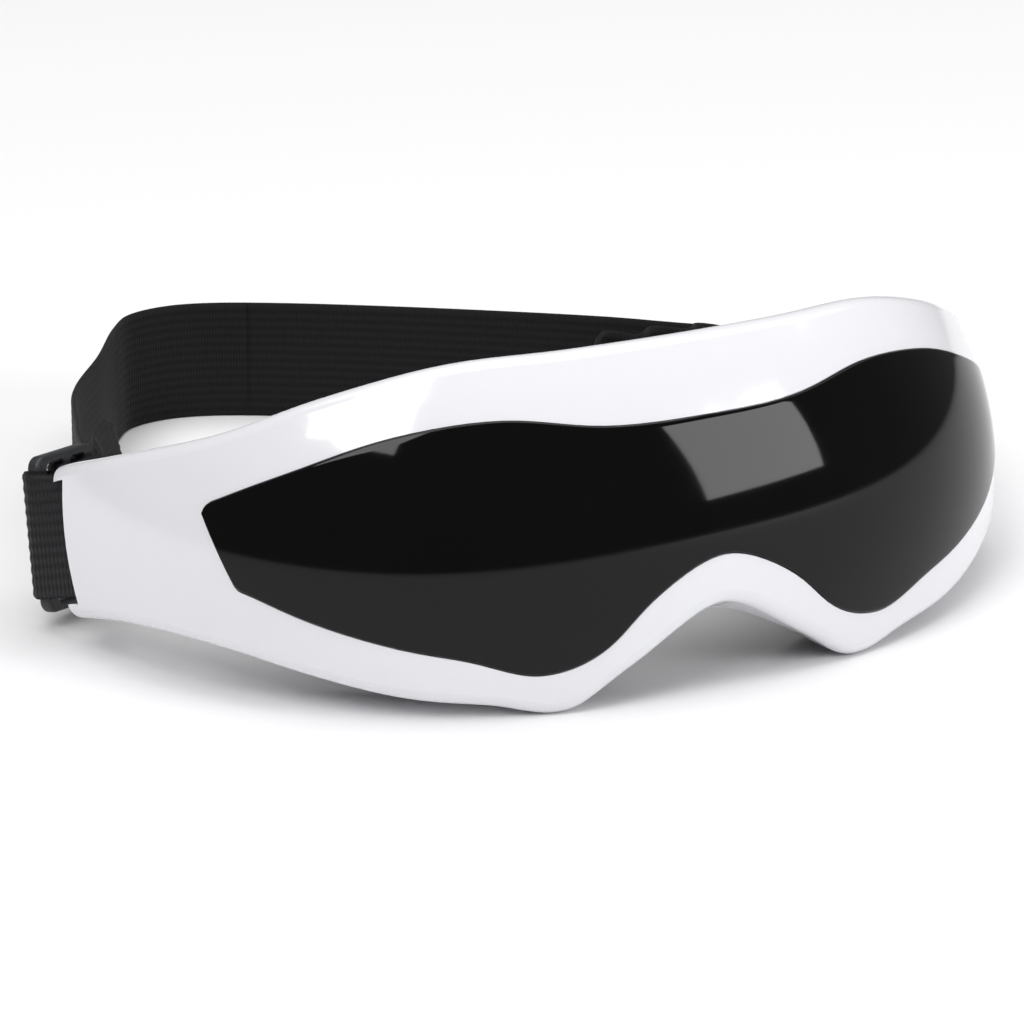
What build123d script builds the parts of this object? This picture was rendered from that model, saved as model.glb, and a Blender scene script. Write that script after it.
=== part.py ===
from build123d import *
import math
import os

# Eye massager mask with a head strap, in millimetres, lying at rest: it stands on its two lower
# lobes and on the lower edge of the strap. +Z is up, the visor faces -Y, and +X is the wearer's left.
# Shell pieces are drawn in the mask's own frame (x to the wearer's left, y towards the face,
# z up the face) and are then pitched back onto the table by to_rest.

# ---- driving dimensions ----
pitch = 26.9  # how far the mask leans back at rest, degrees
plan_points = [(0, 0), (60, 0), (89.1, 32.2), (95, 77.8)]  # half of the front seen from above
crown_level = 1.2  # height where the front stands furthest out
crown_radius = 65.5
upper_heights = [18.8, 19.3, 20.8, 19.9, 18.3, 19.8, 22.1]  # top edge, nose to arm end
lower_heights = [-29.9, -37, -43.8, -40, -35.2, -27.2, -18.3, -11.2, -6.3]
depths = [15.5, 17.2, 19.6, 20.2, 19, 17, 14.8, 12.8, 11.5]  # front to parting line, nose to arm end
wall = 2.8
rim_radius = 3.0
tuck = math.tan(math.radians(pitch))  # rise of the underside for each millimetre of depth
square_level = -30  # the underside is square to the front above this height
tuck_fade = 12  # and turns level at rest over this much below it
wall_end = 134.4  # where the front wall stops, between the two flanges that hold the strap pin
flange_end = 138

visor_upper = [2.9, 3.9, 8.5, 9.5, 7.8, 6.2]
visor_lower = [-21.8, -26.2, -34.6, -36.2, -31.3, -26.2, -19.1, -9.7]
visor_tip = 96.1  # distance from the nose to the visor's upper corner
visor_corner = 92.7  # and to its lower corner
visor_proud = 0.4
visor_seat = 1.5
visor_gap = 0.15
visor_film = 0.12  # adhesive behind the visor
visor_corner_radius = 2.5

rear_end = 128
rear_wall = 2.0
rear_inset = 1.0  # how far the rear shell's edge stands inside the front shell's
parting_gap = 0.1
lip_height = 1.2
lip_reach = 2.0
bulkhead = 1.6

pad_end = 112
pad_inset = 2.6
pad_depths = [5.0, 6.5, 6.5, 5.5, 4.0, 2.5]  # thickness of the face pad, nose to temple
pad_gap = 0.1

plate_at = 34  # eye centre, along the front
plate_height = -10
plate_radius = 14.1
plate_slot = 0.2
plate_back = 19.0  # depth of the flat seat that stops the plate
plate_face = 23.4
flange_radius = 16.4
flange_thickness = 1.5
seat_radius = 20.4
seat_thickness = 3.2
retainer_depth = 13.1
retainer_thickness = 1.4
retainer_hole = 11.0
retainer_screw_head = (1.5, 1.0)  # radius and height
retainer_screw_end = 17.5
post_radius = 1.7
post_ring = 18.4
spring_ring = 14.4
spring_radius = 1.2
spring_wire = 0.2
nub_radius = 2.2
nub_height = 2.4
nub_ring = 9.0
well_radius = 21.2

motor_radius = 4.0
motor_depth = 12.6
motor_low = -7.5
motor_high = 3.5
motor_collar = (1.2, 0.4)  # radius and height of the boss round the shaft
holder_size = (11.0, 5.0, 7.0)
shaft_radius = 0.5
shaft_bearing = 0.03
shaft_low = -6.3
shaft_high = 8.5
weight_radius = 3.4
weight_low = 4.2
weight_high = 8.2
weight_flat = 0.9  # how far the flat cut stands behind the shaft

screw_radius = 1.0
screw_head = 2.0
screw_head_height = 0.9
screw_length = 7.0
boss_radius = 2.6
boss_gap = 0.6
casing_screw_places = [(9, 11.2), (60, 12), (62, -24), (118, 5)]

board_at = 80
board_size = (28, 1.2, 21)
board_front = 7.4
board_low = -8
board_post = 2.2
board_screw_radius = 0.8
board_screw_head = (1.5, 0.9)  # radius and height
board_screw_length = 5
board_screw_places = [(-11, -4), (11, -4)]
main_chip = (-6, 0, (6, 1.0, 6))  # place across and up the board, then size
charging_chip = (6, 1, (4, 1.0, 4))
status_led = (8, 12.3, (2.2, 2.6, 1.4))
switch_body = (0, 10.8, (6, 3.4, 4))
switch_tip = (1.0, 12.8, 13.8)  # radius, and the heights it spans
button_radius = 3.0
button_gap = 0.08
button_depth = 10.3
button_proud = 0.7
button_flange = 3.8
button_flange_thickness = 0.9
button_under_wall = 0.5
button_edge = 0.5
pipe_offset = 8
pipe_radius = 1.0
pipe_gap = 0.05
pipe_low = 13.6

battery_size = (34, 5, 22)
battery_depth = 5.9
battery_height = -3
battery_edge = 1.5

jack_at = 100
jack_depth = 9.3
jack_radius = 3.1
jack_bore = 1.8
jack_mouth = -17.0
jack_length = 12
jack_bore_length = 9
lead_radius = 0.5
battery_lead_stops = (19, 28, 40, 54, 65.4)  # distances from the nose
battery_lead_heights = (5, 6.4)
battery_lead_depth = 8
near_motor_lead = [  # distance from the nose, height and depth of each point
    (66, -2, 9),
    (58, -8, 9),
    (48, -19, 10),
    (38, -22, 12),
    (34, -20, 12.6),
    (34, -17.8, 12.6),
]
far_motor_lead = [
    (66, -6, 9),
    (58, -14, 9),
    (46, -22, 8.6),
    (20, -22.5, 8.4),
    (0, -22, 8.4),
    (-20, -22.5, 8.6),
    (-31, -22.5, 10.5),
    (-34, -20, 12.6),
    (-34, -17.8, 12.6),
]
jack_lead = [(100, 0.1), (100, 2.5), (97, 4), (94.6, 4.5)]  # distance from the nose, height over the jack

pin_at = 135.0
pin_depth = 6.2
pin_radius = 1.5
pin_low = -4.6
pin_high = 20.6
webbing = 1.0  # thickness of the anchor webbing
anchor_width = 20.0
anchor_from = 0.08  # where the webbing starts and ends along the pin
anchor_to = 0.87
anchor_bore = 2.0
anchor_drop = 0.6

bar_centre = Vector(93.4, 83.5, 17.65)  # buckle's outer bar, on the wearer's left, before centring
bar_inward = Vector(-0.849, 0.516, -0.102)
bar_up = Vector(-0.009, 0.179, 0.984)
buckle_length = 29.4
buckle_thickness = 2.6
buckle_from = -1.7
buckle_to = 16.3
buckle_slots = [(1.6, 6.6), (9.2, 13.4)]
slot_length = 25.8
buckle_edge = 0.7
buckle_corner = 2.4
slot_corner = 0.8
middle_bar = 7.9

strap_width = 24.6
strap_thickness = 1.2
strap_turn = 2.35
strap_plan = [
    (68, 119.5),
    (52, 135),
    (20, 159.5),
    (-7, 177.3),
    (-20, 182.6),
    (-31, 181.4),
    (-38, 174.5),
    (-48, 159.5),
    (-61.5, 141),
    (-70.5, 119),
]
left_tail_plan = [(-73.5, 101), (-67, 114)]
right_tail_plan = [(68, 99), (52, 101), (36, 108)]
tail_level = 16.6
left_tail_lean = Vector(-0.22, 0, 1)
right_tail_lean = Vector(0, 0.05, 1)


# ---- the mask's surface ----
plan = Bezier(*plan_points)


def spread(start, end, count):
    """Evenly spaced values from start to end."""
    return [start + (end - start) * k / (count - 1) for k in range(count)]


def profile(span, values):
    """Smooth even function of the distance along the front, through values spread over span."""
    step = span / (len(values) - 1)
    held = [values[1], *values, 2 * values[-1] - values[-2]]

    def value(s):
        place = min(abs(s) / step, len(values) - 1)
        k = min(int(place), len(values) - 2)
        a, b, c, d = held[k : k + 4]
        t = place - k
        return b + t / 2 * (c - a + t * (2 * a - 5 * b + 4 * c - d + t * (3 * (b - c) + d - a)))

    return value


upper = profile(plan.length, upper_heights)
lower = profile(plan.length, lower_heights)
depth = profile(plan.length, depths)
pad_depth = profile(pad_end, pad_depths)


def along(s):
    """Point of the plan curve at distance s from the nose, and the inward direction there."""
    reach = min(abs(s) / plan.length, 1)
    way = plan % reach
    here = plan @ reach + way * max(abs(s) - plan.length, 0)
    side = 1 if s >= 0 else -1
    return Vector(side * here.X, here.Y), Vector(-side * way.Y, way.X)


def crown(z):
    """How far the front falls back at height z."""
    return (z - crown_level) ** 2 / (2 * crown_radius)


def spot(s, z, w):
    """Point at distance s along the front, height z and depth w behind the crown line."""
    here, inward = along(s)
    return Vector(here.X + inward.X * w, here.Y + inward.Y * w, z)


def station(s):
    """Place at distance s along the wearer's left half: x along the front, y inward, z up."""
    here, inward = along(s)
    return Plane(origin=here, x_dir=(inward.Y, -inward.X, 0), z_dir=(0, 0, 1)).location


def band(end, low, high, near, far, start=None, count=35, low_far=None):
    """Solid that follows the front from start to end, between two heights and two depths."""
    rings = []
    for s in spread(-end if start is None else start, end, count):
        front = Spline([spot(s, z, near(s, z)) for z in spread(low(s), high(s), 5)])
        back = Spline([spot(s, z, far(s, z)) for z in spread(high(s), (low_far or low)(s), 5)])
        rings.append(Wire([front, Line(front @ 1, back @ 0), back, Line(back @ 1, front @ 0)]))
    return Solid.make_loft(rings)


def behind_crown(offset):
    return lambda s, z: crown(z) + offset


def behind_parting(offset):
    return lambda s, z: depth(s) + offset


def raised(edge, offset):
    return lambda s: edge(s) + offset


def tucked(s):
    """Height of the lower edge at the parting line: the lobes lie flat at rest, the arms stay square."""
    share = min(max((square_level - lower(s)) / tuck_fade, 0), 1)
    return lower(s) + tuck * share * (depth(s) - crown(lower(s)))


def rod(radius, start, end, place=Location()):
    """Round bar along depth y, from start to end, at the origin of place."""
    bar = Cylinder(radius, end - start, align=(Align.CENTER, Align.CENTER, Align.MIN))
    return place * Pos(0, start, 0) * Rot(-90, 0, 0) * bar


def post(radius, low, high, place=Location()):
    """Upright round bar from low to high at the origin of place."""
    bar = Cylinder(radius, high - low, align=(Align.CENTER, Align.CENTER, Align.MIN))
    return place * Pos(0, 0, low) * bar


def both(piece):
    """The piece and its mirror image on the wearer's right."""
    return [piece, mirror(piece, about=Plane.YZ)]


def around(ring, count, first):
    """Places on a circle about the depth axis."""
    angles = [math.radians(first + 360 * k / count) for k in range(count)]
    return [(ring * math.cos(a), ring * math.sin(a)) for a in angles]


def tube(points, radius):
    """Round wire through the points."""
    path = Spline(points)
    return sweep(Plane(origin=path @ 0, z_dir=path % 0) * Circle(radius), path=path)


# ---- casing ----
def visor_block(gap, near, far):
    """Layer with the visor's outline, grown by gap on every edge."""
    low = raised(profile(visor_corner, visor_lower), -gap)
    high = raised(profile(visor_tip, visor_upper), gap)
    layer = band(visor_tip + 3, low, high, behind_crown(near), behind_crown(far))
    rise = visor_upper[-1] - visor_lower[-1]
    slant = math.degrees(math.atan2(visor_tip - visor_corner, rise))
    middle = (visor_upper[-1] + visor_lower[-1]) / 2
    end = station((visor_tip + visor_corner) / 2) * Pos(gap, 0, middle) * Rot(0, slant, 0)
    beyond = end * Pos(20, 0, 0) * Box(40, 40, 60)
    for cutter in both(beyond):
        layer = layer - cutter
    corners = layer.edges().filter_by(lambda edge: edge.length < (far - near) * 1.3)
    return fillet(corners, visor_corner_radius + gap)


def make_visor():
    return visor_block(0, -visor_proud, visor_seat - visor_film)


def make_front_shell():
    shell = band(flange_end, lower, upper, behind_crown(0), behind_parting(0), low_far=tucked)
    long_edges = shell.edges().filter_by(lambda edge: edge.length > 200)
    shell = fillet([edge for edge in long_edges if (edge @ 0.5).Y < depths[0] * 0.7], rim_radius)
    inner_low, inner_high = raised(lower, wall), raised(upper, -wall)
    shell -= band(
        flange_end + 2,
        inner_low,
        inner_high,
        behind_crown(wall),
        behind_parting(1),
        low_far=raised(tucked, wall),
    )
    web = band(
        rear_end + bulkhead,
        raised(lower, wall / 2),
        raised(upper, -wall / 2),
        behind_crown(wall / 2),
        behind_parting(-0.2),
        start=rear_end,
        count=3,
        low_far=raised(tucked, wall / 2),
    )
    notch = band(
        flange_end + 2,
        inner_low,
        inner_high,
        behind_crown(-2),
        behind_crown(wall + 1),
        start=wall_end,
        count=3,
    )
    for piece in both(web):
        shell += piece
    for piece in both(notch):
        shell -= piece
    for s, z in casing_screw_places:
        place = station(s) * Pos(0, 0, z)
        boss = rod(boss_radius, crown(z) + wall / 2, depth(s) - boss_gap, place)
        bore = rod(screw_radius, depth(s) - screw_length, depth(s) + 1, place)
        for piece, hole in zip(both(boss), both(bore)):
            shell = shell + piece - hole
    for x, z in board_screw_places:
        place = station(board_at) * Pos(x, 0, z)
        shell += rod(board_post, crown(z) + wall / 2, board_front, place)
        shell -= rod(board_screw_radius, board_front - 4, board_front + 1, place)
    button = station(board_at) * Pos(0, button_depth, 0)
    shell -= post(button_radius + button_gap, 10, 25, button)
    shell -= post(pipe_radius + pipe_gap, 14, 25, button * Pos(pipe_offset, 0, 0))
    shell -= post(jack_radius + pipe_gap, -25, jack_mouth + 5, station(jack_at) * Pos(0, jack_depth, 0))
    for pin in both(make_pin()):
        shell -= pin
    return shell - visor_block(visor_gap, -3, visor_seat)


def make_rear_shell():
    edge_low, edge_high = raised(tucked, rear_inset), raised(upper, -rear_inset)
    near, far = behind_parting(parting_gap), behind_parting(parting_gap + rear_wall)
    rise = tuck * (rear_wall + parting_gap)
    shell = band(rear_end, edge_low, edge_high, near, far, low_far=raised(edge_low, rise))
    room = wall + 0.15
    lip = band(
        rear_end - 1,
        raised(tucked, room),
        raised(upper, -room),
        behind_parting(-lip_reach),
        behind_parting(parting_gap + 0.3),
    )
    lip -= band(
        rear_end + 2,
        raised(tucked, room + lip_height),
        raised(upper, -room - lip_height),
        behind_parting(-lip_reach - 1),
        behind_parting(parting_gap + 1),
    )
    shell += lip
    eye = station(plate_at) * Pos(0, 0, plate_height)
    seat = rod(seat_radius, plate_back, plate_back + seat_thickness, eye)
    for x, z in around(post_ring, 3, 90):
        top = retainer_depth + retainer_thickness
        seat += rod(post_radius, top, plate_back + 1, eye * Pos(x, 0, z))
        seat -= rod(board_screw_radius, top - 1, plate_back - 0.5, eye * Pos(x, 0, z))
    hole = rod(plate_radius + plate_slot, plate_back - 1, plate_back + 12, eye)
    hole += rod(flange_radius + plate_slot, plate_back - 6, plate_back, eye)
    for piece, opening in zip(both(seat), both(hole)):
        shell = shell + piece - opening
    for s, z in casing_screw_places:
        place = station(s) * Pos(0, 0, z)
        back = depth(s) + parting_gap + rear_wall
        hole = rod(screw_radius + 0.15, depth(s) - 1, back + 2, place)
        recess = rod(screw_head + 0.1, back - screw_head_height - 0.1, back + 3, place)
        for a, b in zip(both(hole), both(recess)):
            shell = shell - a - b
    return shell


def make_casing_screws():
    screws = []
    for s, z in casing_screw_places:
        place = station(s) * Pos(0, 0, z)
        under = depth(s) + parting_gap + rear_wall - screw_head_height - 0.1
        head = rod(screw_head, under, under + screw_head_height, place)
        screw = head + rod(screw_radius, under - screw_length, under, place)
        screws += both(screw)
    return screws


def make_face_pad():
    start = parting_gap + rear_wall + pad_gap
    pad = band(
        pad_end,
        raised(tucked, pad_inset),
        raised(upper, -pad_inset),
        behind_parting(start),
        lambda s, z: depth(s) + start + pad_depth(s),
        low_far=lambda s: tucked(s) + pad_inset + tuck * pad_depth(s),
    )
    well = rod(well_radius, 10, 40, station(plate_at) * Pos(0, 0, plate_height))
    for piece in both(well):
        pad -= piece
    return pad


# ---- massage plates: sprung discs with a vibration motor behind each ----
eye_place = station(plate_at) * Pos(0, 0, plate_height)


def make_plate():
    front = plate_back - parting_gap - flange_thickness
    plate = rod(flange_radius, front, plate_back - parting_gap, eye_place)
    plate += rod(plate_radius, front, plate_face, eye_place)
    return plate


def make_nubs():
    nubs = []
    for x, z in [(0, 0)] + around(nub_ring, 6, 0):
        nub = rod(nub_radius, plate_face, plate_face + nub_height, eye_place * Pos(x, 0, z))
        crest = nub.faces().filter_by(GeomType.PLANE).sort_by_distance(Vector(0, 60, 0))[0]
        nubs.append(fillet(crest.edges(), nub_height * 0.8))
    return nubs


def make_springs():
    springs = []
    low = retainer_depth + retainer_thickness + spring_wire
    high = plate_back - parting_gap - flange_thickness - spring_wire
    coil = Helix(pitch=(high - low) / 3, height=high - low, radius=spring_radius)
    wire = sweep(Plane(origin=coil @ 0, z_dir=coil % 0) * Circle(spring_wire), path=coil, is_frenet=True)
    for x, z in around(spring_ring, 3, 30):
        springs.append(eye_place * Pos(x, low, z) * Rot(-90, 0, 0) * wire)
    return springs


def make_retainer():
    top = retainer_depth + retainer_thickness
    ring = rod(seat_radius - 0.2, retainer_depth, top, eye_place)
    ring -= rod(retainer_hole, retainer_depth - 1, top + 1, eye_place)
    for x, z in around(post_ring, 3, 90):
        ring -= rod(board_screw_radius + 0.1, retainer_depth - 1, top + 1, eye_place * Pos(x, 0, z))
    return ring


def make_retainer_screws():
    head_radius, head_height = retainer_screw_head
    screws = []
    for x, z in around(post_ring, 3, 90):
        place = eye_place * Pos(x, 0, z)
        head = rod(head_radius, retainer_depth - head_height, retainer_depth, place)
        screws.append(head + rod(board_screw_radius, retainer_depth, retainer_screw_end, place))
    return screws


motor_place = eye_place * Pos(0, motor_depth, 0)


def make_motor():
    can = post(motor_radius, motor_low, motor_high, motor_place)
    can += post(motor_collar[0], motor_high, motor_high + motor_collar[1], motor_place)
    return can - post(shaft_radius + shaft_bearing, motor_low + 1, motor_high + 1, motor_place)


def make_shaft():
    return post(shaft_radius, shaft_low, shaft_high, motor_place)


def make_weight():
    weight = post(weight_radius, weight_low, weight_high, motor_place)
    cut = motor_place * Pos(0, weight_radius + weight_flat, (weight_low + weight_high) / 2)
    weight -= cut * Box(3 * weight_radius, 2 * weight_radius, 2 * (weight_high - weight_low))
    return weight - post(shaft_radius, weight_low - 1, weight_high + 1, motor_place)


def make_motor_holder():
    back = plate_back - parting_gap - flange_thickness
    place = eye_place * Pos(0, back - holder_size[1] / 2, (motor_low + motor_high) / 2)
    holder = place * Box(*holder_size)
    return holder - post(motor_radius, motor_low - 1, motor_high + 1, motor_place)


# ---- electronics, in the wearer's left half ----
board_place = station(board_at)


def make_board():
    length, thickness, height = board_size
    place = board_place * Pos(0, board_front + thickness / 2, board_low + height / 2)
    board = place * Box(length, thickness, height)
    for x, z in board_screw_places:
        board -= rod(board_screw_radius + 0.1, 0, 20, board_place * Pos(x, 0, z))
    return board


def on_board(x, z, size):
    """Component of the given size, centred at x and z on the board's rear side."""
    back = board_front + board_size[1]
    return board_place * Pos(x, back + size[1] / 2, z) * Box(*size)


def make_board_screws():
    back = board_front + board_size[1]
    head_radius, head_height = board_screw_head
    screws = []
    for x, z in board_screw_places:
        place = board_place * Pos(x, 0, z)
        shank = rod(board_screw_radius, back - board_screw_length, back, place)
        screws.append(rod(head_radius, back, back + head_height, place) + shank)
    return screws


def make_switch():
    return on_board(*switch_body) + post(*switch_tip, board_place * Pos(0, button_depth, 0))


def make_button():
    place = board_place * Pos(0, button_depth, 0)
    under = upper(board_at) - wall - button_under_wall
    low = under - button_flange_thickness
    button = post(button_radius, low, upper(board_at) + button_proud, place)
    crest = button.faces().sort_by(Axis.Z)[-1]
    button = fillet(crest.edges(), button_edge)
    return button + post(button_flange, low, under, place)


def make_light_pipe():
    place = board_place * Pos(pipe_offset, button_depth, 0)
    return post(pipe_radius, pipe_low, upper(board_at + pipe_offset), place)


def make_jack():
    place = station(jack_at) * Pos(0, jack_depth, 0)
    body = post(jack_radius, jack_mouth, jack_mouth + jack_length, place)
    return body - post(jack_bore, jack_mouth - 1, jack_mouth + jack_bore_length, place)


def make_battery():
    length, thickness, height = battery_size
    cell = Pos(0, battery_depth + thickness / 2, battery_height) * Box(length, thickness, height)
    return fillet(cell.edges().filter_by(Axis.Z), battery_edge)


def make_battery_leads():
    routes = [[spot(s, z, battery_lead_depth) for s in battery_lead_stops] for z in battery_lead_heights]
    return [tube(points, lead_radius) for points in routes]


def make_motor_leads():
    """Leads of the motor on the wearer's left, and of the one on the right, from the board."""
    routes = (near_motor_lead, far_motor_lead)
    return [tube([spot(*place) for place in route], lead_radius) for route in routes]


def make_jack_leads():
    top = jack_mouth + jack_length + 0.2
    leads = []
    for side in (-1, 1):
        points = [spot(s, top + rise, jack_depth + side) for s, rise in jack_lead]
        leads.append(tube(points, lead_radius))
    return leads


# ---- strap hardware: pin in the arm's end, webbing anchor and three-bar buckle ----
pin_start = spot(pin_at, pin_low, pin_depth + crown(pin_low))
pin_stop = spot(pin_at, pin_high, pin_depth + crown(pin_high))


def make_pin():
    way = pin_stop - pin_start
    return Plane(origin=pin_start, z_dir=way).location * post(pin_radius, 0, way.length)


def to_rest(piece, lift):
    """Pitch a piece of the mask back and set it down on the table."""
    return Pos(0, 0, lift) * Rot(-pitch, 0, 0) * piece


def rested(point, lift):
    return to_rest(Vertex(*point), lift).center()


buckle_place = Plane(origin=bar_centre, x_dir=bar_inward, z_dir=bar_up).location


def make_anchor(lift):
    """Closed webbing band around the arm's pin and the buckle's outer bar."""
    loops = []
    for size in (anchor_bore + webbing, anchor_bore):
        ends = []
        for share, level in ((anchor_from, -anchor_width / 2), (anchor_to, anchor_width / 2)):
            near = rested(pin_start + (pin_stop - pin_start) * share, lift)
            far = (buckle_place * Pos(0, 0, level - anchor_drop)).position
            across = far - near
            up = bar_up + Vector(0, math.sin(math.radians(pitch)), math.cos(math.radians(pitch)))
            plane = Plane(origin=(near + far) / 2, x_dir=across, z_dir=across.cross(up).cross(across))
            ends.append((plane * SlotCenterToCenter(across.length, 2 * size)).wire())
        loops.append(Solid.make_loft(ends, ruled=True))
    return loops[0] - loops[1]


def make_buckle():
    middle = (buckle_from + buckle_to) / 2
    frame = Pos(middle, 0, 0) * Box(buckle_to - buckle_from, buckle_thickness, buckle_length)
    frame = fillet(frame.edges().filter_by(Axis.Y), buckle_corner)
    for start, end in buckle_slots:
        slot = Box(end - start, 3 * buckle_thickness, slot_length)
        slot = fillet(slot.edges().filter_by(Axis.Y), slot_corner)
        frame -= Pos((start + end) / 2, 0, 0) * slot
    rims = frame.faces().filter_by(Axis.Y)
    frame = fillet([edge for face in rims for edge in face.edges()], buckle_edge)
    return buckle_place * frame


def buckle_route(side, count=7):
    """Strap centre line through one buckle, from its tail side round the middle bar and out again."""
    local = [(buckle_to - 0.5, strap_turn), (12, strap_turn)]
    for angle in spread(90, 270, count):
        a = math.radians(angle)
        local.append((middle_bar + strap_turn * math.cos(a), strap_turn * math.sin(a)))
    local += [(12, -strap_turn), (buckle_to - 0.5, -strap_turn)]
    route = []
    for x, y in local:
        p = (buckle_place * Pos(x, y, 0)).position
        route.append((Vector(side * p.X, p.Y, p.Z), Vector(side * bar_up.X, bar_up.Y, bar_up.Z)))
    return route


def tail_route(side, first, places, lean):
    """Free end of the strap, from the buckle to its tip."""
    start, up = first
    way = Vector(side * bar_inward.X, bar_inward.Y, bar_inward.Z)
    points = [start] + [Vector(x, y, tail_level) for x, y in places]
    path = Spline(points, tangents=[way, (points[-1] - points[-2]).normalized()])
    steps = 14
    return [(path @ (k / steps), (up * (steps - k) + lean * k).normalized()) for k in range(1, steps + 1)]


def strap_leaving(side, ends):
    """Direction of the strap where it leaves a buckle for its next point."""
    way = Vector(side * bar_inward.X, bar_inward.Y, bar_inward.Z)
    return (way * 0.6 + (ends[1] - ends[0]).normalized()).normalized()


def make_strap():
    right, left = buckle_route(1), buckle_route(-1)
    right_tail = tail_route(1, right[0], right_tail_plan, right_tail_lean)
    left_tail = tail_route(-1, left[0], left_tail_plan, left_tail_lean)
    start, end = right[-1], left[-1]
    points = [start[0]] + [Vector(x, y, strap_width / 2) for x, y in strap_plan] + [end[0]]
    path = Spline(points, tangents=[strap_leaving(1, points[:2]), -strap_leaving(-1, points[:-3:-1])])
    steps = 60
    main = []
    for k in range(1, steps):
        t = k / steps
        hold = max(0, 1 - 8 * min(t, 1 - t))
        tilt = start[1] if t < 0.5 else end[1]
        centre = path @ t
        if hold == 0:
            centre = Vector(centre.X, centre.Y, strap_width / 2)
        main.append((centre, (tilt * hold + Vector(0, 0, 1) * (1 - hold)).normalized()))
    route = right_tail[::-1] + right + main + left[::-1] + left_tail
    return ribbon(route, strap_width, strap_thickness)


def ribbon(route, width, thickness):
    """Flat band through the route's points, with its width along the direction given at each."""
    rings = []
    for k, (centre, up) in enumerate(route):
        before, after = route[max(k - 1, 0)][0], route[min(k + 1, len(route) - 1)][0]
        side = (after - before).normalized().cross(up).normalized() * (thickness / 2)
        rise = up * (width / 2)
        corners = [centre + side + rise, centre - side + rise, centre - side - rise, centre + side - rise]
        rings.append(Wire.make_polygon(corners, close=True))
    return Solid.make_loft(rings, ruled=True)


# ---- assembly ----
def build():
    """Every node, as its list of solids, at rest and centred over the origin."""
    mask = {
        "front_shell": [make_front_shell()],
        "visor": [make_visor()],
        "rear_shell": [make_rear_shell()],
        "face_pad": [make_face_pad()],
        "casing_screws": make_casing_screws(),
        "battery": [make_battery()],
        "battery_leads": make_battery_leads(),
        "control_board": [make_board()],
        "board_screws": make_board_screws(),
        "main_chip": [on_board(*main_chip)],
        "charging_chip": [on_board(*charging_chip)],
        "power_switch": [make_switch()],
        "status_led": [on_board(*status_led)],
        "power_button": [make_button()],
        "light_pipe": [make_light_pipe()],
        "charge_jack": [make_jack()],
        "jack_leads": make_jack_leads(),
    }
    left_lead, right_lead = make_motor_leads()
    mask["left_motor_leads"] = [left_lead]
    mask["right_motor_leads"] = [right_lead]
    pairs = {
        "massage_plate": [make_plate()],
        "massage_nubs": make_nubs(),
        "plate_springs": make_springs(),
        "plate_retainer": [make_retainer()],
        "retainer_screws": make_retainer_screws(),
        "motor": [make_motor()],
        "motor_shaft": [make_shaft()],
        "eccentric_weight": [make_weight()],
        "motor_holder": [make_motor_holder()],
        "strap_pin": [make_pin()],
    }
    for name, pieces in pairs.items():
        mask["left_" + name] = pieces
        mask["right_" + name] = [both(piece)[1] for piece in pieces]
    lift = -to_rest(mask["front_shell"][0], 0).bounding_box().min.Z
    nodes = {name: [to_rest(piece, lift) for piece in pieces] for name, pieces in mask.items()}
    hardware = {"anchor_webbing": make_anchor(lift), "buckle": make_buckle()}
    for name, piece in hardware.items():
        nodes["left_" + name], nodes["right_" + name] = [[each] for each in both(piece)]
    nodes["head_strap"] = [make_strap()]
    ends = [piece.bounding_box() for pieces in nodes.values() for piece in pieces]
    middle = (min(box.min.Y for box in ends) + max(box.max.Y for box in ends)) / 2
    return {name: [Pos(0, -middle, 0) * piece for piece in pieces] for name, pieces in nodes.items()}


if __name__ == "__main__":
    os.makedirs("parts", exist_ok=True)
    for name, pieces in build().items():
        solids = [solid for piece in pieces for solid in piece.solids()]
        whole = solids[0] if len(solids) == 1 else Compound(children=solids)
        export_step(whole, f"parts/{name}.step")
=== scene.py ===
import math

import bpy
from mathutils import Matrix, Vector


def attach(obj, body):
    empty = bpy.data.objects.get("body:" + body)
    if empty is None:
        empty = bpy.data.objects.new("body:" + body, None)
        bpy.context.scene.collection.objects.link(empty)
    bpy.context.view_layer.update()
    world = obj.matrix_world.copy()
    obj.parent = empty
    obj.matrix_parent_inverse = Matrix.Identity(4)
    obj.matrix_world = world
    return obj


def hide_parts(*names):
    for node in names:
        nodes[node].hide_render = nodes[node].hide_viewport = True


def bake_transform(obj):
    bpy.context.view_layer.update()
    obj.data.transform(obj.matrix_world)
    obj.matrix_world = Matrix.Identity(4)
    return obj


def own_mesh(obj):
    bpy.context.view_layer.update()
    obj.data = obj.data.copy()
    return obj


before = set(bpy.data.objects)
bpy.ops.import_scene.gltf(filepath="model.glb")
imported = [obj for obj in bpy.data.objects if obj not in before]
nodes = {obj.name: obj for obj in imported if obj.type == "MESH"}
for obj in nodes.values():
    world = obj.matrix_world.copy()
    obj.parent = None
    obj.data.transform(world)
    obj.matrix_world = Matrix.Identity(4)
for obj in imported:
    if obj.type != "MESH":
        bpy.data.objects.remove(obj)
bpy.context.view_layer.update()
scene = bpy.context.scene
print("frame loaded:", len(nodes), "nodes")


# shader maths written as plain expressions
class Sock:
    def __init__(self, finish, socket):
        self.finish = finish
        self.socket = socket

    def math(self, operation, *values):
        return self.finish.add("ShaderNodeMath", {"operation": operation}, dict(enumerate(values)))

    def __add__(self, other):
        return self.math("ADD", self, other)

    __radd__ = __add__

    def __sub__(self, other):
        return self.math("SUBTRACT", self, other)

    def __rsub__(self, other):
        return self.math("SUBTRACT", other, self)

    def __mul__(self, other):
        return self.math("MULTIPLY", self, other)

    __rmul__ = __mul__


bandScale = 0.314  # scale at which the wave texture's bands are one metre apart


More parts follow.
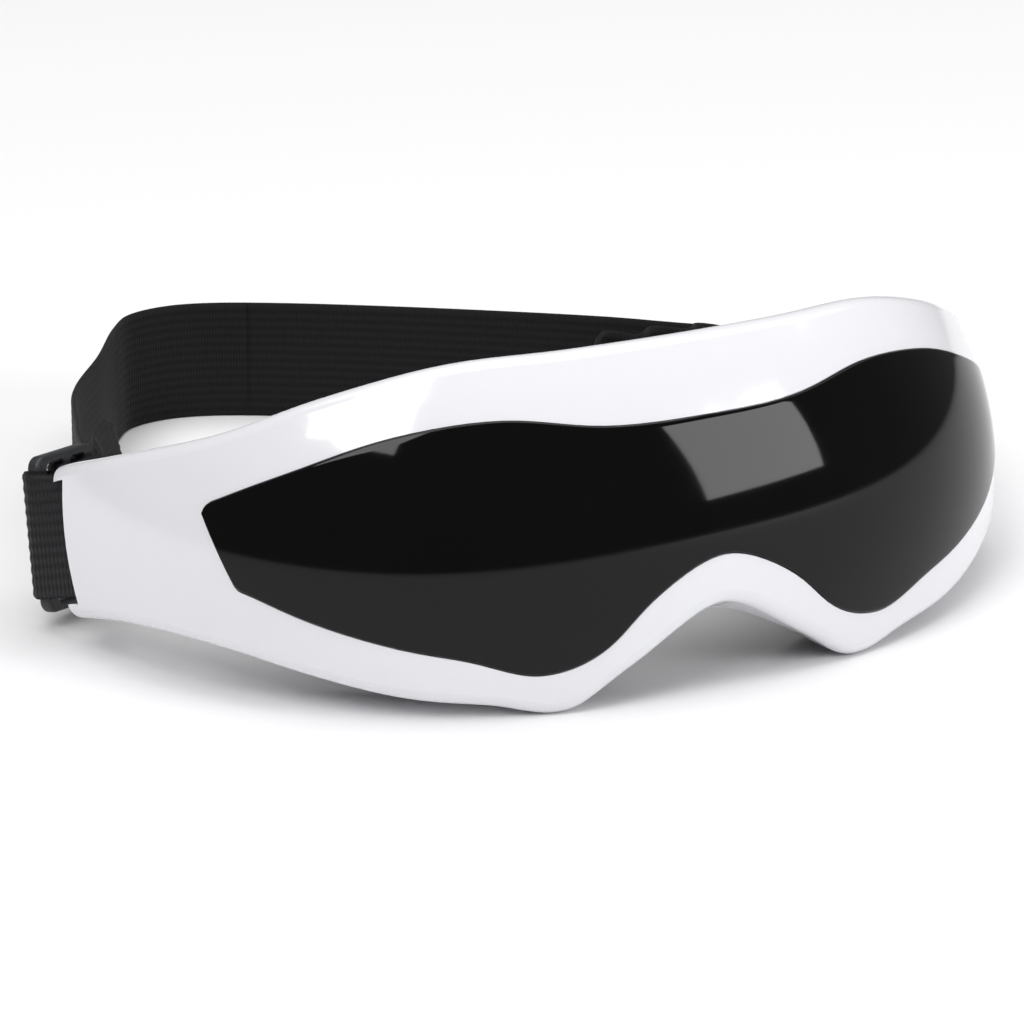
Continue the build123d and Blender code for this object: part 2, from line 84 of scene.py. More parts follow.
class Finish:
    def __init__(self, name):
        self.material = bpy.data.materials.new(name)
        self.material.use_nodes = True
        self.tree = self.material.node_tree
        self.tree.nodes.clear()

    # one node: its type, its settings, then the values or links of its sockets
    def add(self, kind, settings=None, sockets=None, output=0):
        node = self.tree.nodes.new(kind)
        for key, value in (settings or {}).items():
            setattr(node, key, value)
        for key, value in (sockets or {}).items():
            if isinstance(value, Sock):
                self.tree.links.new(value.socket, node.inputs[key])
            else:
                node.inputs[key].default_value = value
        return Sock(self, node.outputs[output])

    def place(self):
        return self.add("ShaderNodeTexCoord", output="Object")

    def scaled(self, vector, scale):
        return self.add("ShaderNodeMapping", None, {"Vector": vector, "Scale": scale})

    # noise of the given grain size in metres, from 0 to 1
    def noise(self, vector, grain, detail=3.0):
        settings = {"Vector": vector, "Scale": 1 / grain, "Detail": detail, "Roughness": 0.55}
        return self.add("ShaderNodeTexNoise", None, settings, "Fac")

    # even bands, pitch metres apart, that sway a little
    def bands(self, vector, way, pitch, sway=0.0, detail=2.0, detailScale=1.0):
        settings = {"bands_direction": way, "wave_profile": "SIN"}
        return self.add("ShaderNodeTexWave", settings, {
            "Vector": vector, "Scale": bandScale / pitch,
            "Distortion": sway, "Detail": detail, "Detail Scale": detailScale,
        }, "Fac")

    # colour mix: sockets 0, 6 and 7 are its share and its two colours
    def blend(self, share, first, second):
        colours = {0: share, 6: (*first, 1) if isinstance(first, tuple) else first}
        colours[7] = (*second, 1) if isinstance(second, tuple) else second
        return self.add("ShaderNodeMix", {"data_type": "RGBA"}, colours, 2)

    def bump(self, height, depth, strength=1.0):
        return self.add("ShaderNodeBump", None, {"Height": height, "Distance": depth, "Strength": strength})

    def surface(self, **values):
        sockets = {key.replace("_", " "): value for key, value in values.items()}
        shader = self.add("ShaderNodeBsdfPrincipled", None, sockets)
        end = self.tree.nodes.new("ShaderNodeOutputMaterial")
        self.tree.links.new(shader.socket, end.inputs["Surface"])
        return self.material


# moulded plastic: colour that drifts a little, patchy gloss, fine tool grain
def moulded(name, look):
    made = Finish(name)
    where = made.place()
    drift = made.noise(where, look["patch"])
    grain = made.noise(where, look["grain"], 2.0)
    return made.surface(
        Base_Color=made.blend(drift, *look["colours"]),
        Roughness=look["rough"] + look["roughSpread"] * drift,
        Normal=made.bump(grain, look["depth"], look.get("strength", 1.0)),
        Specular_IOR_Level=look.get("specular", 0.5),
        Coat_Weight=look.get("coat", 0.0),
        Coat_Roughness=look.get("coatRough", 0.03),
        Metallic=look.get("metal", 0.0),
    )


# metres, degrees, and the lens and sensor in millimetres
camera = {
    "at": (-0.4513, -0.85231, 0.3447), "azimuth": -28.3, "elevation": 19.4,
    "lens": 184.75, "sensor": 36,
}


def setCamera():
    data = bpy.data.cameras.new("camera")
    data.lens = camera["lens"]
    data.sensor_width = camera["sensor"]
    item = bpy.data.objects.new("camera", data)
    scene.collection.objects.link(item)
    a, e = math.radians(camera["azimuth"]), math.radians(camera["elevation"])
    back = Vector((math.sin(a) * math.cos(e), -math.cos(a) * math.cos(e), math.sin(e)))
    item.location = camera["at"]
    item.rotation_euler = (-back).to_track_quat("-Z", "Y").to_euler()
    scene.camera = item


studio = {
    "floor": (0.93, 0.93, 0.94),
    "floorSize": 30,
    "fibre": 0.002, "fibreShade": 0.99, "paperRough": 0.7, "paperSpread": 0.2, "paperSpecular": 0.1,
    "surroundings": 0.17,
    "aim": (0, -0.03, 0.03),  # what every lamp points at
    # where each lamp hangs, its width and height in metres, and its power
    "lamps": [
        ("windowLamp", (0.87, -1.2, 0.56), (0.60, 0.66), 8),
        ("leftLamp", (-1.3, -0.8, 1.8), (1.1, 1.1), 21),
        ("rightLamp", (1.4, -0.2, 1.6), (0.9, 0.9), 3.5),
        ("topLamp", (0.0, 0.1, 1.9), (2.0, 2.0), 27),
    ],
}


def setStudio():
    bpy.ops.mesh.primitive_plane_add(size=studio["floorSize"])
    floor = bpy.context.object
    floor.name = "floor"
    made = Finish("floorPaper")
    fibre = made.noise(made.place(), studio["fibre"])
    paper = made.surface(
        Base_Color=made.blend(fibre, studio["floor"], tuple(c * studio["fibreShade"] for c in studio["floor"])),
        Roughness=studio["paperRough"] + studio["paperSpread"] * fibre,
        Specular_IOR_Level=studio["paperSpecular"],
    )
    floor.data.materials.append(paper)
    world = bpy.data.worlds.new("room")
    world.use_nodes = True
    scene.world = world
    paint = world.node_tree.nodes["Background"]
    paint.inputs["Color"].default_value = (1, 1, 1, 1)
    paint.inputs["Strength"].default_value = studio["surroundings"]
    for name, at, (width, height), power in studio["lamps"]:
        data = bpy.data.lights.new(name, "AREA")
        data.shape = "RECTANGLE"
        data.size = width
        data.size_y = height
        data.energy = power
        item = bpy.data.objects.new(name, data)
        item.location = at
        item.rotation_euler = (Vector(studio["aim"]) - Vector(at)).to_track_quat("-Z", "Y").to_euler()
        scene.collection.objects.link(item)
    scene.view_settings.view_transform = "Standard"


setCamera()
setStudio()
print("camera and lamps set")


casing = {
    "patch": 0.03, "grain": 0.0009, "colours": ((0.80, 0.80, 0.83), (0.83, 0.83, 0.86)),
    "rough": 0.10, "roughSpread": 0.05, "depth": 0.00001, "strength": 0.25, "coat": 0.4,
}
windscreen = {
    "patch": 0.02, "grain": 0.002, "colours": ((0.0010, 0.0010, 0.0012), (0.0020, 0.0020, 0.0022)),
    "rough": 0.02, "roughSpread": 0.06, "depth": 0.000004, "strength": 0.2, "specular": 0.26,
}
backCasing = {
    "patch": 0.02, "grain": 0.0005, "colours": ((0.17, 0.17, 0.18), (0.20, 0.20, 0.21)),
    "rough": 0.42, "roughSpread": 0.15, "depth": 0.00005,
}
buckleLook = {
    "patch": 0.006, "grain": 0.0005, "colours": ((0.017, 0.018, 0.020), (0.028, 0.029, 0.032)),
    "rough": 0.34, "roughSpread": 0.2, "depth": 0.00004,
}
steelLook = {
    "patch": 0.004, "grain": 0.0003, "colours": ((0.50, 0.50, 0.51), (0.62, 0.62, 0.63)),
    "rough": 0.2, "roughSpread": 0.2, "depth": 0.00001, "metal": 1.0,
}
brassLook = {
    "patch": 0.003, "grain": 0.0004, "colours": ((0.66, 0.46, 0.20), (0.76, 0.56, 0.27)),
    "rough": 0.25, "roughSpread": 0.2, "depth": 0.00001, "metal": 1.0,
}
wrapLook = {
    "patch": 0.006, "grain": 0.001, "colours": ((0.03, 0.12, 0.33), (0.04, 0.15, 0.38)),
    "rough": 0.3, "roughSpread": 0.2, "depth": 0.00003,
}
leadLook = {
    "patch": 0.004, "grain": 0.0006, "colours": ((0.42, 0.02, 0.02), (0.5, 0.03, 0.03)),
    "rough": 0.4, "roughSpread": 0.15, "depth": 0.00002,
}
chipLook = {
    "patch": 0.002, "grain": 0.0003, "colours": ((0.015, 0.015, 0.017), (0.025, 0.025, 0.027)),
    "rough": 0.45, "roughSpread": 0.2, "depth": 0.00002,
}
switchLook = {
    "patch": 0.002, "grain": 0.0003, "colours": ((0.55, 0.55, 0.56), (0.66, 0.66, 0.67)),
    "rough": 0.3, "roughSpread": 0.2, "depth": 0.00001, "metal": 1.0,
}
lampLook = {
    "patch": 0.001, "grain": 0.0003, "colours": ((0.75, 0.75, 0.70), (0.82, 0.82, 0.77)),
    "rough": 0.25, "roughSpread": 0.1, "depth": 0.00001,
}


# light pipe: clear rod with a faintly frosted end
pipeLook = {
    "frost": 0.0004, "colours": ((0.93, 0.95, 0.96), (0.85, 0.88, 0.9)),
    "rough": 0.08, "roughSpread": 0.2, "clearness": 0.85, "ior": 1.49,
}


def clearRod(look):
    made = Finish("clearRod")
    frost = made.noise(made.place(), look["frost"])
    return made.surface(
        Base_Color=made.blend(frost, *look["colours"]),
        Roughness=look["rough"] + look["roughSpread"] * frost,
        Transmission_Weight=look["clearness"],
        IOR=look["ior"],
    )


# circuit board: green varnish over copper tracks
boardLook = {
    "trackScale": (900, 900, 900), "trackOffset": 0.3, "trackWidth": 0.06, "trackRun": 2.2, "trackRow": 1.1,
    "patch": 0.002, "varnish": ((0.01, 0.13, 0.045), (0.015, 0.16, 0.06)), "track": (0.06, 0.3, 0.12),
    "rough": 0.3, "roughSpread": 0.15, "depth": 0.00004, "coat": 0.3,
}


def boardVarnish(look):
    made = Finish("boardVarnish")
    where = made.place()
    tracks = made.add("ShaderNodeTexBrick", {"offset": look["trackOffset"]}, {
        "Vector": made.scaled(where, look["trackScale"]),
        "Color1": (0, 0, 0, 1), "Color2": (0, 0, 0, 1), "Mortar": (1, 1, 1, 1),
        "Scale": 1.0, "Mortar Size": look["trackWidth"],
        "Brick Width": look["trackRun"], "Row Height": look["trackRow"],
    }, "Fac")
    drift = made.noise(where, look["patch"])
    return made.surface(
        Base_Color=made.blend(tracks, made.blend(drift, *look["varnish"]), look["track"]),
        Roughness=look["rough"] + look["roughSpread"] * drift,
        Normal=made.bump(tracks, look["depth"]),
        Coat_Weight=look["coat"],
    )


# face pad: soft brushed cloth over foam
padLook = {
    "thread": 0.0009, "sway": 1.2, "fuzz": 0.0006, "worn": 0.025,
    "colours": ((0.026, 0.027, 0.031), (0.062, 0.064, 0.07)),
    "rough": 0.82, "roughSpread": 0.15, "depth": 0.00018, "sheen": 0.25, "sheenRough": 0.5, "specular": 0.2,
}


def padCloth(look):
    made = Finish("padCloth")
    where = made.place()
    across, upward = [made.bands(where, way, look["thread"], look["sway"], 2.0, 3.0) for way in "XZ"]
    fuzz = made.noise(where, look["fuzz"], 4.0)
    worn = made.noise(where, look["worn"])
    weave = across * upward
    return made.surface(
        Base_Color=made.blend(weave * 0.7 + worn * 0.3, *look["colours"]),
        Roughness=look["rough"] + look["roughSpread"] * fuzz,
        Normal=made.bump(weave + 0.5 * fuzz, look["depth"]),
        Sheen_Weight=look["sheen"],
        Sheen_Roughness=look["sheenRough"],
        Specular_IOR_Level=look["specular"],
    )


# webbing and elastic: ribs run lengthways, threads cross between them; the band's UVs are in metres
def wovenBand(name, look):
    made = Finish(name)
    flat = made.add("ShaderNodeUVMap", {"uv_map": "bandLength"})
    ribs = made.bands(flat, "Y", look["rib"])
    threads = made.bands(flat, "X", look["thread"], 0.6, 1.0, 4.0)
    lint = made.noise(flat, look["lint"], 4.0)
    worn = made.noise(flat, look["worn"])
    weave = ribs * 0.7 + threads * 0.3
    return made.surface(
        Base_Color=made.blend(weave * 0.75 + worn * 0.25, *look["colours"]),
        Roughness=look["rough"] + look["roughSpread"] * lint,
        Normal=made.bump(weave + 0.25 * lint, look["depth"]),
        Sheen_Weight=look["sheen"],
        Sheen_Roughness=look["sheenRough"],
        Specular_IOR_Level=look["specular"],
    )


elastic = {
    "rib": 0.00176, "thread": 0.0006, "lint": 0.0007, "worn": 0.02,
    "colours": ((0.003, 0.003, 0.0035), (0.011, 0.011, 0.012)), "rough": 0.72, "roughSpread": 0.12,
    "depth": 0.00022, "sheen": 0.06, "sheenRough": 0.4, "specular": 0.25,
}
anchorBand = {
    "rib": 0.0020, "thread": 0.0009, "lint": 0.0007, "worn": 0.02,
    "colours": ((0.005, 0.005, 0.006), (0.020, 0.020, 0.022)), "rough": 0.6, "roughSpread": 0.12,
    "depth": 0.0003, "sheen": 0.1, "sheenRough": 0.4, "specular": 0.25,
}

finishes = {
    "white_shell": moulded("glossyWhite", casing),
    "black_visor": moulded("smokedVisor", windscreen),
    "grey_shell": moulded("satinGrey", backCasing),
    "soft_pad": padCloth(padLook),
    "steel": moulded("brightSteel", steelLook),
    "battery_wrap": moulded("batteryFilm", wrapLook),
    "lead_wire": moulded("redLead", leadLook),
    "circuit_board": boardVarnish(boardLook),
    "chip_plastic": moulded("chipResin", chipLook),
    "switch_metal": moulded("switchTin", switchLook),
    "led_body": moulded("lampResin", lampLook),
    "clear_pipe": clearRod(pipeLook),
    "strap_webbing": wovenBand("ribbedElastic", elastic),
    "buckle_plastic": moulded("charcoalNylon", buckleLook),
    "brass": moulded("weightBrass", brassLook),
}
anchorFinish = wovenBand("anchorWebbing", anchorBand)

for item in nodes.values():
    for place in item.material_slots:
        place.material = finishes[place.material.name.split(".")[0]]
print("finishes on the moulded pieces")


def millimetres(*values):
    return Vector(values) / 1000


# smooth step from b to c, with a before them and d after
def between(a, b, c, d, t):
    return b + t / 2 * (c - a + t * (2 * a - 5 * b + 4 * c - d + t * (3 * (b - c) + d - a)))


ribbonStep = 0.0012  # how far apart a band's rings are


# smooth line through points, sampled evenly, with the way it starts and ends
def smoothLine(points, startWay, endWay, samples=40):
    reach = (points[1] - points[0]).length
    before = points[1] - startWay.normalized() * reach * 2
    reach = (points[-1] - points[-2]).length
    after = points[-2] + endWay.normalized() * reach * 2
    held = [before, *points, after]
    dense = []
    for k in range(1, len(held) - 2):
        a, b, c, d = held[k - 1:k + 3]
        dense += [between(a, b, c, d, n / samples) for n in range(samples)]
    dense.append(points[-1])
    lengths = [0]
    for a, b in zip(dense, dense[1:]):
        lengths.append(lengths[-1] + (b - a).length)
    count = max(2, round(lengths[-1] / ribbonStep))
    line, k = [], 0
    for n in range(count + 1):
        want = lengths[-1] * n / count
        while k < len(lengths) - 2 and lengths[k + 1] < want:
            k += 1
        share = (want - lengths[k]) / max(lengths[k + 1] - lengths[k], 1e-9)
        line.append(dense[k].lerp(dense[k + 1], min(max(share, 0), 1)))
    return line


band = {"pointsPerRib": 4, "edgeRound": 1.6, "edgeLeast": 0.08, "capWidth": 0.001}


# flat woven band along a route of (centre, width direction, width), ribbed on both faces
def wovenRibbon(name, route, look, finish, closed=False, endWay=None):
    ribs = look["ribs"]
    across = ribs * band["pointsPerRib"]
    rings, lengths, length = [], [], 0
    count = len(route)
    for k, (centre, up, width) in enumerate(route):
        if k:
            length += (centre - route[k - 1][0]).length
        lengths.append(length)
        after = route[(k + 1) % count][0] if closed else route[min(k + 1, count - 1)][0]
        before = route[k - 1][0] if closed or k else centre
        way = endWay if endWay and k == count - 1 else after - before
        side = way.normalized().cross(up).normalized()
        ring = []
        for face in (1, -1):
            for n in range(across + 1):
                share = n / across if face == 1 else 1 - n / across
                rib = 0.5 - 0.5 * math.cos(2 * math.pi * share * ribs)
                edge = min(share, 1 - share) * width
                full = math.sqrt(min(1, edge / look["thick"] * band["edgeRound"] + band["edgeLeast"]))
                out = look["thick"] / 2 * full - look["ribDepth"] * (1 - rib)
                ring.append(centre + up * (width * (share - 0.5)) + side * (face * out))
        rings.append(ring)
    mesh = bpy.data.meshes.new(name)
    points = [p for ring in rings for p in ring]
    size = len(rings[0])
    faces, coords = [], []
    last = count if closed else count - 1
    for k in range(last):
        a, b = k * size, ((k + 1) % count) * size
        step = lengths[k + 1] if k + 1 < count else lengths[k] + (rings[0][0] - rings[-1][0]).length
        for n in range(size):
            m = (n + 1) % size
            faces.append((a + n, a + m, b + m, b + n))
            here, there = (min(n, 2 * across + 1 - n), min(m, 2 * across + 1 - m) if m else 0)
            width = route[k][2]
            coords += [(lengths[k], here / across * width), (lengths[k], there / across * width)]
            coords += [(step, there / across * width), (step, here / across * width)]
    if not closed:
        faces.append(tuple(range(size - 1, -1, -1)))
        faces.append(tuple(range(last * size, last * size + size)))
        for k in (0, last):
            coords += [(lengths[k], band["capWidth"] * n / size) for n in range(size)]
    mesh.from_pydata(points, [], faces)
    layer = mesh.uv_layers.new(name="bandLength")
    layer.data.foreach_set("uv", [v for pair in coords for v in pair])
    for face in mesh.polygons:
        face.use_smooth = len(face.vertices) == 4
    mesh.materials.append(finish)
    item = bpy.data.objects.new(name, mesh)
    scene.collection.objects.link(item)
    return item


# millimetres: the plan as seen from above, and how the front leans, stands and crowns
front = {
    "plan": [(0, 0), (60, 0), (89.1, 32.2), (95, 77.8)], "pitch": 26.9, "lift": 47.852,
    "crownLevel": 1.2, "crownRadius": 65.5,
}
# millimetres: heights along the front from the nose outwards, its two ends, then its thickness and edges
visor = {
    "upper": [2.9, 3.9, 8.5, 9.5, 7.8, 6.2], "lower": [-21.8, -26.2, -34.6, -36.2, -31.3, -26.2, -19.1, -9.7],
    "tip": 96.1, "corner": 92.7, "proud": 0.4, "back": 1.38, "edge": 0.35, "cornerEase": 1.6, "tipEase": 2.2,
    "tipGap": 0.1, "edgeShare": 0.3,
    "columnStep": 0.75, "fineFrom": 90, "fineStep": 0.05, "fineCount": 130, "least": 0.25,
    "edgePoints": 5, "facePoints": 40, "backPoints": 16,
}
backShift = Vector((0, -0.088313, 0))  # moves the front to where the frame has it


# half of the front seen from above: points at even small steps, with their distance from the nose
def frontPlan(steps=1500):
    a, b, c, d = [Vector(p) for p in front["plan"]]
    line = [(1 - t) ** 3 * a + 3 * (1 - t) ** 2 * t * b + 3 * (1 - t) * t * t * c + t ** 3 * d
            for t in [k / steps for k in range(steps + 1)]]
    lengths = [0]
    for p, q in zip(line, line[1:]):
        lengths.append(lengths[-1] + (q - p).length)
    return line, lengths


planLine, planLengths = frontPlan()


def frontPoint(s, z, w):
    side = 1 if s >= 0 else -1
    want = abs(s)
    low, high = 0, len(planLengths) - 1
    while high - low > 1:
        middle = (low + high) // 2
        low, high = (middle, high) if planLengths[middle] <= want else (low, middle)
    way = (planLine[high] - planLine[low]).normalized()
    here = planLine[low] + way * (want - planLengths[low])
    x, y = side * (here.x - way.y * w), here.y + way.x * w
    a = math.radians(front["pitch"])
    up = math.cos(a) * z - math.sin(a) * y + front["lift"]
    return Vector((x, math.cos(a) * y + math.sin(a) * z, up)) / 1000 + backShift


def crown(z):
    return (z - front["crownLevel"]) ** 2 / (2 * front["crownRadius"])


# smooth curve through values spread from the nose outwards
def evenCurve(span, values):
    held = [values[1], *values, 2 * values[-1] - values[-2]]

    def value(s):
        place = min(abs(s) / span * (len(values) - 1), len(values) - 1)
        k = min(int(place), len(values) - 2)
        a, b, c, d = held[k:k + 4]
        return between(a, b, c, d, place - k)

    return value


# gloss visor: one smooth shield with a rolled edge, dense enough to mirror cleanly
def makeVisor():
    upper, lower = evenCurve(visor["tip"], visor["upper"]), evenCurve(visor["corner"], visor["lower"])
    slope = (visor["upper"][-1] - visor["lower"][-1]) / (visor["tip"] - visor["corner"])

    def limits(s):
        end = visor["lower"][-1] + (s - visor["corner"]) * slope
        a, b = lower(min(s, visor["corner"])), end
        low = (a + b + math.sqrt((a - b) ** 2 + visor["cornerEase"] ** 2)) / 2
        ease = visor["tipEase"]
        near = max(0, ease - (visor["tip"] - visor["tipGap"] - s)) / ease
        return low, upper(s) - ease * (1 - math.sqrt(max(0, 1 - near * near)))

    coarse = round(visor["fineFrom"] / visor["columnStep"]) + 1
    half = [k * visor["columnStep"] for k in range(coarse)]
    half += [visor["fineFrom"] + k * visor["fineStep"] for k in range(1, visor["fineCount"])]
    half = [s for s in half if limits(s)[1] - limits(s)[0] > visor["least"]]
    columns = [-s for s in half[:0:-1]] + half
    points, faces = [], []
    turns = [math.pi / 2 * n / (visor["edgePoints"] - 1) for n in range(visor["edgePoints"])]
    faceCount, backCount = visor["facePoints"], visor["backPoints"]
    for s in columns:
        low, high = limits(abs(s))
        edge = min(visor["edge"], (high - low) * visor["edgeShare"])
        outline = [(low, visor["back"])]
        for a in turns:
            outline.append((low + edge * (1 - math.cos(a)), edge * (1 - math.sin(a)) - visor["proud"]))
        for n in range(1, faceCount):
            outline.append((low + edge + (high - low - 2 * edge) * n / faceCount, -visor["proud"]))
        for a in reversed(turns):
            outline.append((high - edge * (1 - math.cos(a)), edge * (1 - math.sin(a)) - visor["proud"]))
        outline += [(high + (low - high) * n / backCount, visor["back"]) for n in range(backCount)]
        points += [frontPoint(s, z, crown(z) + w) for z, w in outline]
        size = len(outline)
    for k in range(len(columns) - 1):
        for n in range(size):
            m = (n + 1) % size
            faces.append((k * size + n, (k + 1) * size + n, (k + 1) * size + m, k * size + m))
    last = (len(columns) - 1) * size
    faces += [tuple(range(size)), tuple(range(last + size - 1, last - 1, -1))]
    mesh = bpy.data.meshes.new("visorShield")
    mesh.from_pydata(points, [], faces)
    mesh.polygons.foreach_set("use_smooth", [len(f) == 4 for f in faces])
    mesh.materials.append(finishes["black_visor"])
    item = bpy.data.objects.new("visorShield", mesh)
    scene.collection.objects.link(item)
    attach(item, "mask_body")
    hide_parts("visor")


makeVisor()
print("visor shaped")


# sizes in metres, places seen from above in millimetres
strap = {
    "width": 0.0246, "thick": 0.0012, "ribs": 14, "ribDepth": 0.00016,
    "turn": 0.00235, "turnSteps": 12, "lead": 0.0005,  # how it goes round a buckle's middle bar
    "plan": [
        (68, 119.5), (52, 135), (20, 159.5), (-7, 177.3), (-20, 182.6),
        (-31, 181.4), (-38, 174.5), (-48, 159.5), (-61.5, 141), (-70.5, 119),
    ],
    "meetAt": 4,  # the plan point beside which the strap's two halves meet
    "longTail": [(68, 100.5), (52, 103.5), (36, 106.5)], "longTailLean": (0, 0.05, 1),
    "shortTail": [(-73.5, 101), (-64, 113)], "shortTailLean": (-0.22, 0, 1),
    "tailLevel": 16.6,
    # a bend place for each half: this far along its buckle, then this stretch beyond it
    "bendFrom": 0.012, "leftBend": (-0.03, 0.035, 0), "rightBend": (0.02, 0.05, 0),
    # slack waves in the longer tail: height, length, how much they rise and lean, where they set in
    "ripple": 0.0013, "rippleLength": 0.0105, "rippleRise": 0.0017, "rippleLean": 0.12,
    "rippleFrom": 0.3, "rippleEase": 4,
    "tipRound": 0.004, "settle": 0.04, "leaveBias": 0.6,
}
buckle = {
    "bar": (93.4, 83.5, 17.65), "inward": (-0.849, 0.516, -0.102), "up": (-0.009, 0.179, 0.984),
    "end": 0.0163, "middleBar": 0.0079, "slotEnd": 0.012,
}
barAt = millimetres(*buckle["bar"]) + backShift
barIn = Vector(buckle["inward"]).normalized()
barUp = (Vector(buckle["up"]) - barIn * Vector(buckle["up"]).dot(barIn)).normalized()
barOut = barUp.cross(barIn)  # the buckle's own thickness direction


def mirrored(vector, side):
    return Vector((side * vector.x, vector.y, vector.z))


def onBuckle(side, x, y, z=0.0):
    return mirrored(barAt + barIn * x + barOut * y + barUp * z, side)


# strap round one buckle's middle bar, from its tail side to its long side
def buckleTurn(side):
    turn, bar, steps = strap["turn"], buckle["middleBar"], strap["turnSteps"]
    outer = buckle["end"] - strap["lead"]
    places = [(outer, turn), (buckle["slotEnd"], turn)]
    for n in range(steps + 1):
        a = math.pi * (0.5 + n / steps)
        places.append((bar + turn * math.cos(a), turn * math.sin(a)))
    places += [(buckle["slotEnd"], -turn), (outer, -turn)]
    return [onBuckle(side, x, y) for x, y in places]


def flatPoint(place, level):
    return millimetres(place[0], place[1], level) + backShift


# half of the strap: its loose tail, the turn in its buckle, and its run to where the halves meet
def halfStrap(side, tail, lean, plan, meet, ripple, name, bend):
    turn = buckleTurn(side)
    up = mirrored(barUp, side)
    way = mirrored(barIn, side)
    width = strap["width"]
    tip = [flatPoint(p, strap["tailLevel"]) for p in tail]
    tailLine = smoothLine([turn[0], *tip], way, tip[-1] - tip[-2])[1:]
    tailRoute = []
    tipRound = strap["tipRound"]
    for k, p in enumerate(tailLine):
        share = (k + 1) / len(tailLine)
        left = (len(tailLine) - 1 - k) * ribbonStep
        full = width - tipRound * max(0, 1 - left / tipRound) ** 2
        rise = (up * (1 - share) + Vector(lean) * share).normalized()
        wave = ripple * min(1, max(0, share - strap["rippleFrom"]) * strap["rippleEase"])
        along = (tailLine[min(k + 1, len(tailLine) - 1)] - tailLine[max(k - 1, 0)]).normalized()
        swell = math.sin(2 * math.pi * (k + 1) * ribbonStep / strap["rippleLength"])
        out = along.cross(rise)
        p = p + out * (wave * strap["ripple"] * swell) + rise * (wave * strap["rippleRise"])
        tailRoute.append((p, (rise + out * (strap["rippleLean"] * wave * swell)).normalized(), full))
    level = strap["width"] * 500  # half the width, in millimetres
    points = [turn[-1], *[flatPoint(p, level) for p in plan]]
    leave = (way * strap["leaveBias"] + (points[1] - points[0]).normalized()).normalized()
    main = smoothLine(points, leave, meet)[1:]
    mainRoute = []
    for k, p in enumerate(main):
        hold = max(0, 1 - (k + 1) * ribbonStep / strap["settle"])
        mainRoute.append((p, (up * hold + Vector((0, 0, 1)) * (1 - hold)).normalized(), width))
    route = tailRoute[::-1] + [(p, up, width) for p in turn] + mainRoute
    item = wovenRibbon(name, route, strap, finishes["strap_webbing"], endWay=meet)
    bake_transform(item)
    return item


def bendPlace(side, stretch):
    start = onBuckle(side, strap["bendFrom"], 0)
    return start, start + Vector(stretch)


def makeStrap():
    plan, middle = strap["plan"], strap["meetAt"]
    before, after = [flatPoint(plan[k], 0) for k in (middle - 2, middle)]
    left = halfStrap(
        1, strap["longTail"], strap["longTailLean"], plan[:middle], after - before, 1,
        "headStrapLeft", bendPlace(1, strap["leftBend"]),
    )
    right = halfStrap(
        -1, strap["shortTail"], strap["shortTailLean"], plan[:middle - 2:-1], before - after, 0,
        "headStrapRight", bendPlace(-1, strap["rightBend"]),
    )
    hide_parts("head_strap")
    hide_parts("head_strap")


makeStrap()
print("head strap woven")


anchor = {
    "thick": 0.001, "ribs": 11, "ribDepth": 0.00016, "bore": 0.0020,
    "pinStart": (0.08841, -0.021505, 0.008801), "pinStop": (0.085819, -0.009777, 0.031108),
    "from": 0.06, "to": 0.92, "barWidth": 0.024, "turnPoints": 12, "runPoints": 24,
}


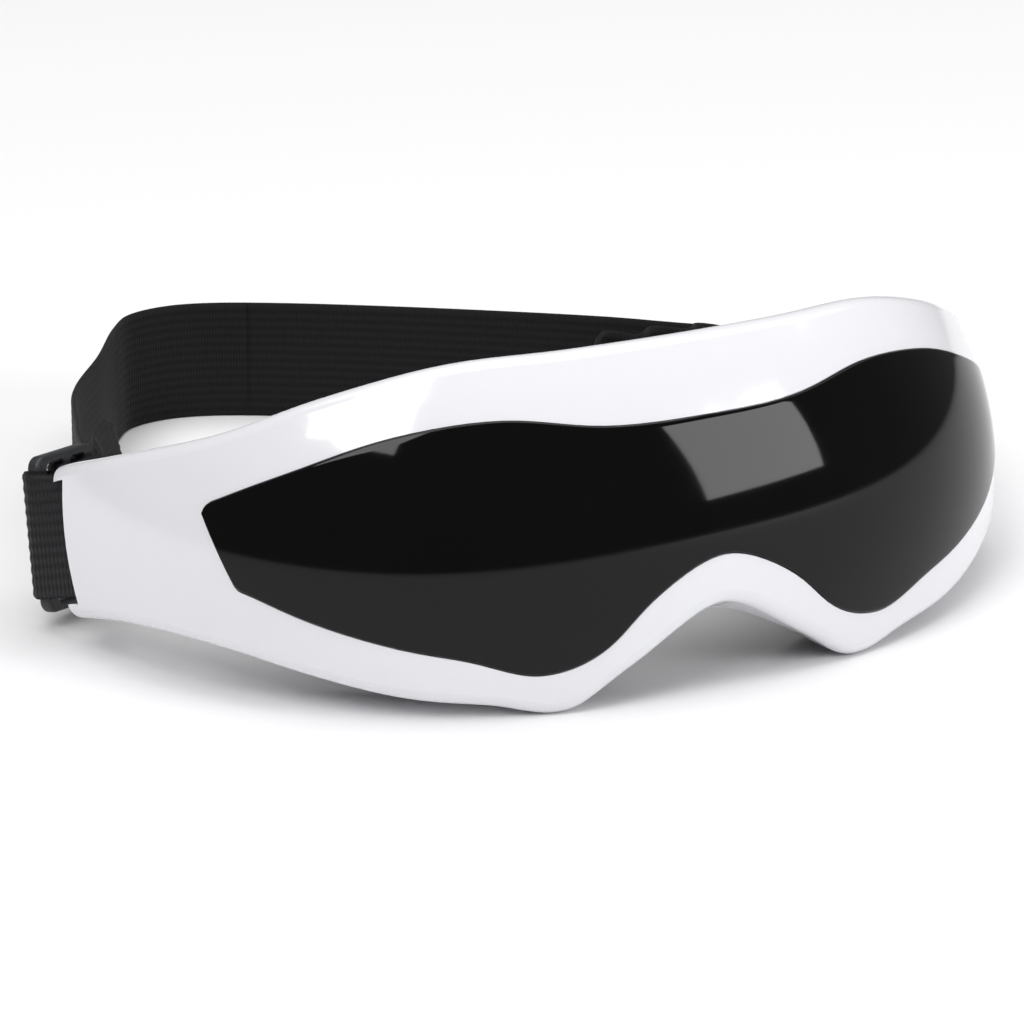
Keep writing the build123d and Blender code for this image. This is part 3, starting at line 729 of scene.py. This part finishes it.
# ribbed loop round the arm's pin and the buckle's outer bar
def makeAnchor(side, name, body, node):
    start, stop = Vector(anchor["pinStart"]), Vector(anchor["pinStop"])
    lowPin, highPin = start.lerp(stop, anchor["from"]), start.lerp(stop, anchor["to"])
    half = anchor["barWidth"] / 2
    lowBar, highBar = barAt - barUp * half, barAt + barUp * half
    size = anchor["bore"] + anchor["thick"] / 2
    pin, bar = lowPin.lerp(highPin, 0.5), lowBar.lerp(highBar, 0.5)
    across = (bar - pin).normalized()
    up = (highPin - lowPin).normalized() + (highBar - lowBar).normalized()
    out = across.cross(up).normalized()
    runs = anchor["runPoints"]
    turns = [math.pi * n / (anchor["turnPoints"] - 1) for n in range(anchor["turnPoints"])]
    profile = [(0, size * math.cos(math.pi / 2 + a), size * math.sin(math.pi / 2 + a)) for a in turns]
    profile += [(n / runs, 0, -size) for n in range(1, runs)]
    profile += [(1, size * math.cos(-math.pi / 2 + a), size * math.sin(-math.pi / 2 + a)) for a in turns]
    profile += [(n / runs, 0, size) for n in range(runs - 1, 0, -1)]
    route = []
    for share, run, rise in profile:
        low = lowPin.lerp(lowBar, share) + across * run + out * rise
        high = highPin.lerp(highBar, share) + across * run + out * rise
        centre = mirrored(low.lerp(high, 0.5), side)
        route.append((centre, mirrored((high - low).normalized(), side), (high - low).length))
    item = wovenRibbon(name, route, anchor, anchorFinish, closed=True)
    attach(item, body)
    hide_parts(node)


makeAnchor(1, "anchorLoopLeft", "left_strap_end", "left_anchor_webbing")
makeAnchor(-1, "anchorLoopRight", "right_strap_end", "right_anchor_webbing")
print("anchor loops made")


# a node's mesh as a loose object of its own
def ownCopy(node, name):
    item = nodes[node].copy()
    item.data = nodes[node].data.copy()
    item.name = name
    for key in list(item.keys()):
        del item[key]
    item.parent = None
    item.matrix_world = Matrix.Identity(4)
    scene.collection.objects.link(item)
    item.hide_render = False
    item.hide_viewport = False
    return item


facePad = {"voxel": 0.0013, "smooth": 14, "ease": 0.5, "fill": 0.8}


# foam pad: the CAD solid remeshed and its edges rolled over
def makeFacePad():
    item = ownCopy("face_pad", "facePad")
    remesh = item.modifiers.new("remesh", "REMESH")
    remesh.mode = "VOXEL"
    remesh.voxel_size = facePad["voxel"]
    remesh.use_smooth_shade = True
    ease = item.modifiers.new("ease", "SMOOTH")
    ease.iterations = facePad["smooth"]
    ease.factor = facePad["ease"]
    depsgraph = bpy.context.evaluated_depsgraph_get()
    mesh = bpy.data.meshes.new_from_object(item.evaluated_get(depsgraph))
    item.modifiers.clear()
    item.data = mesh
    item.data.materials.clear()
    item.data.materials.append(finishes["soft_pad"])
    for face in item.data.polygons:
        face.use_smooth = True
    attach(item, "mask_body")
    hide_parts("face_pad")


makeFacePad()
print("face pad shaped")


def makeSprings(name):
    item = ownCopy(name + "_plate_springs", name + "ReturnSprings")
    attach(item, "mask_body")
    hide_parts(name + "_plate_springs")
    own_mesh(item)


makeSprings("left")
makeSprings("right")
print("springs fitted")
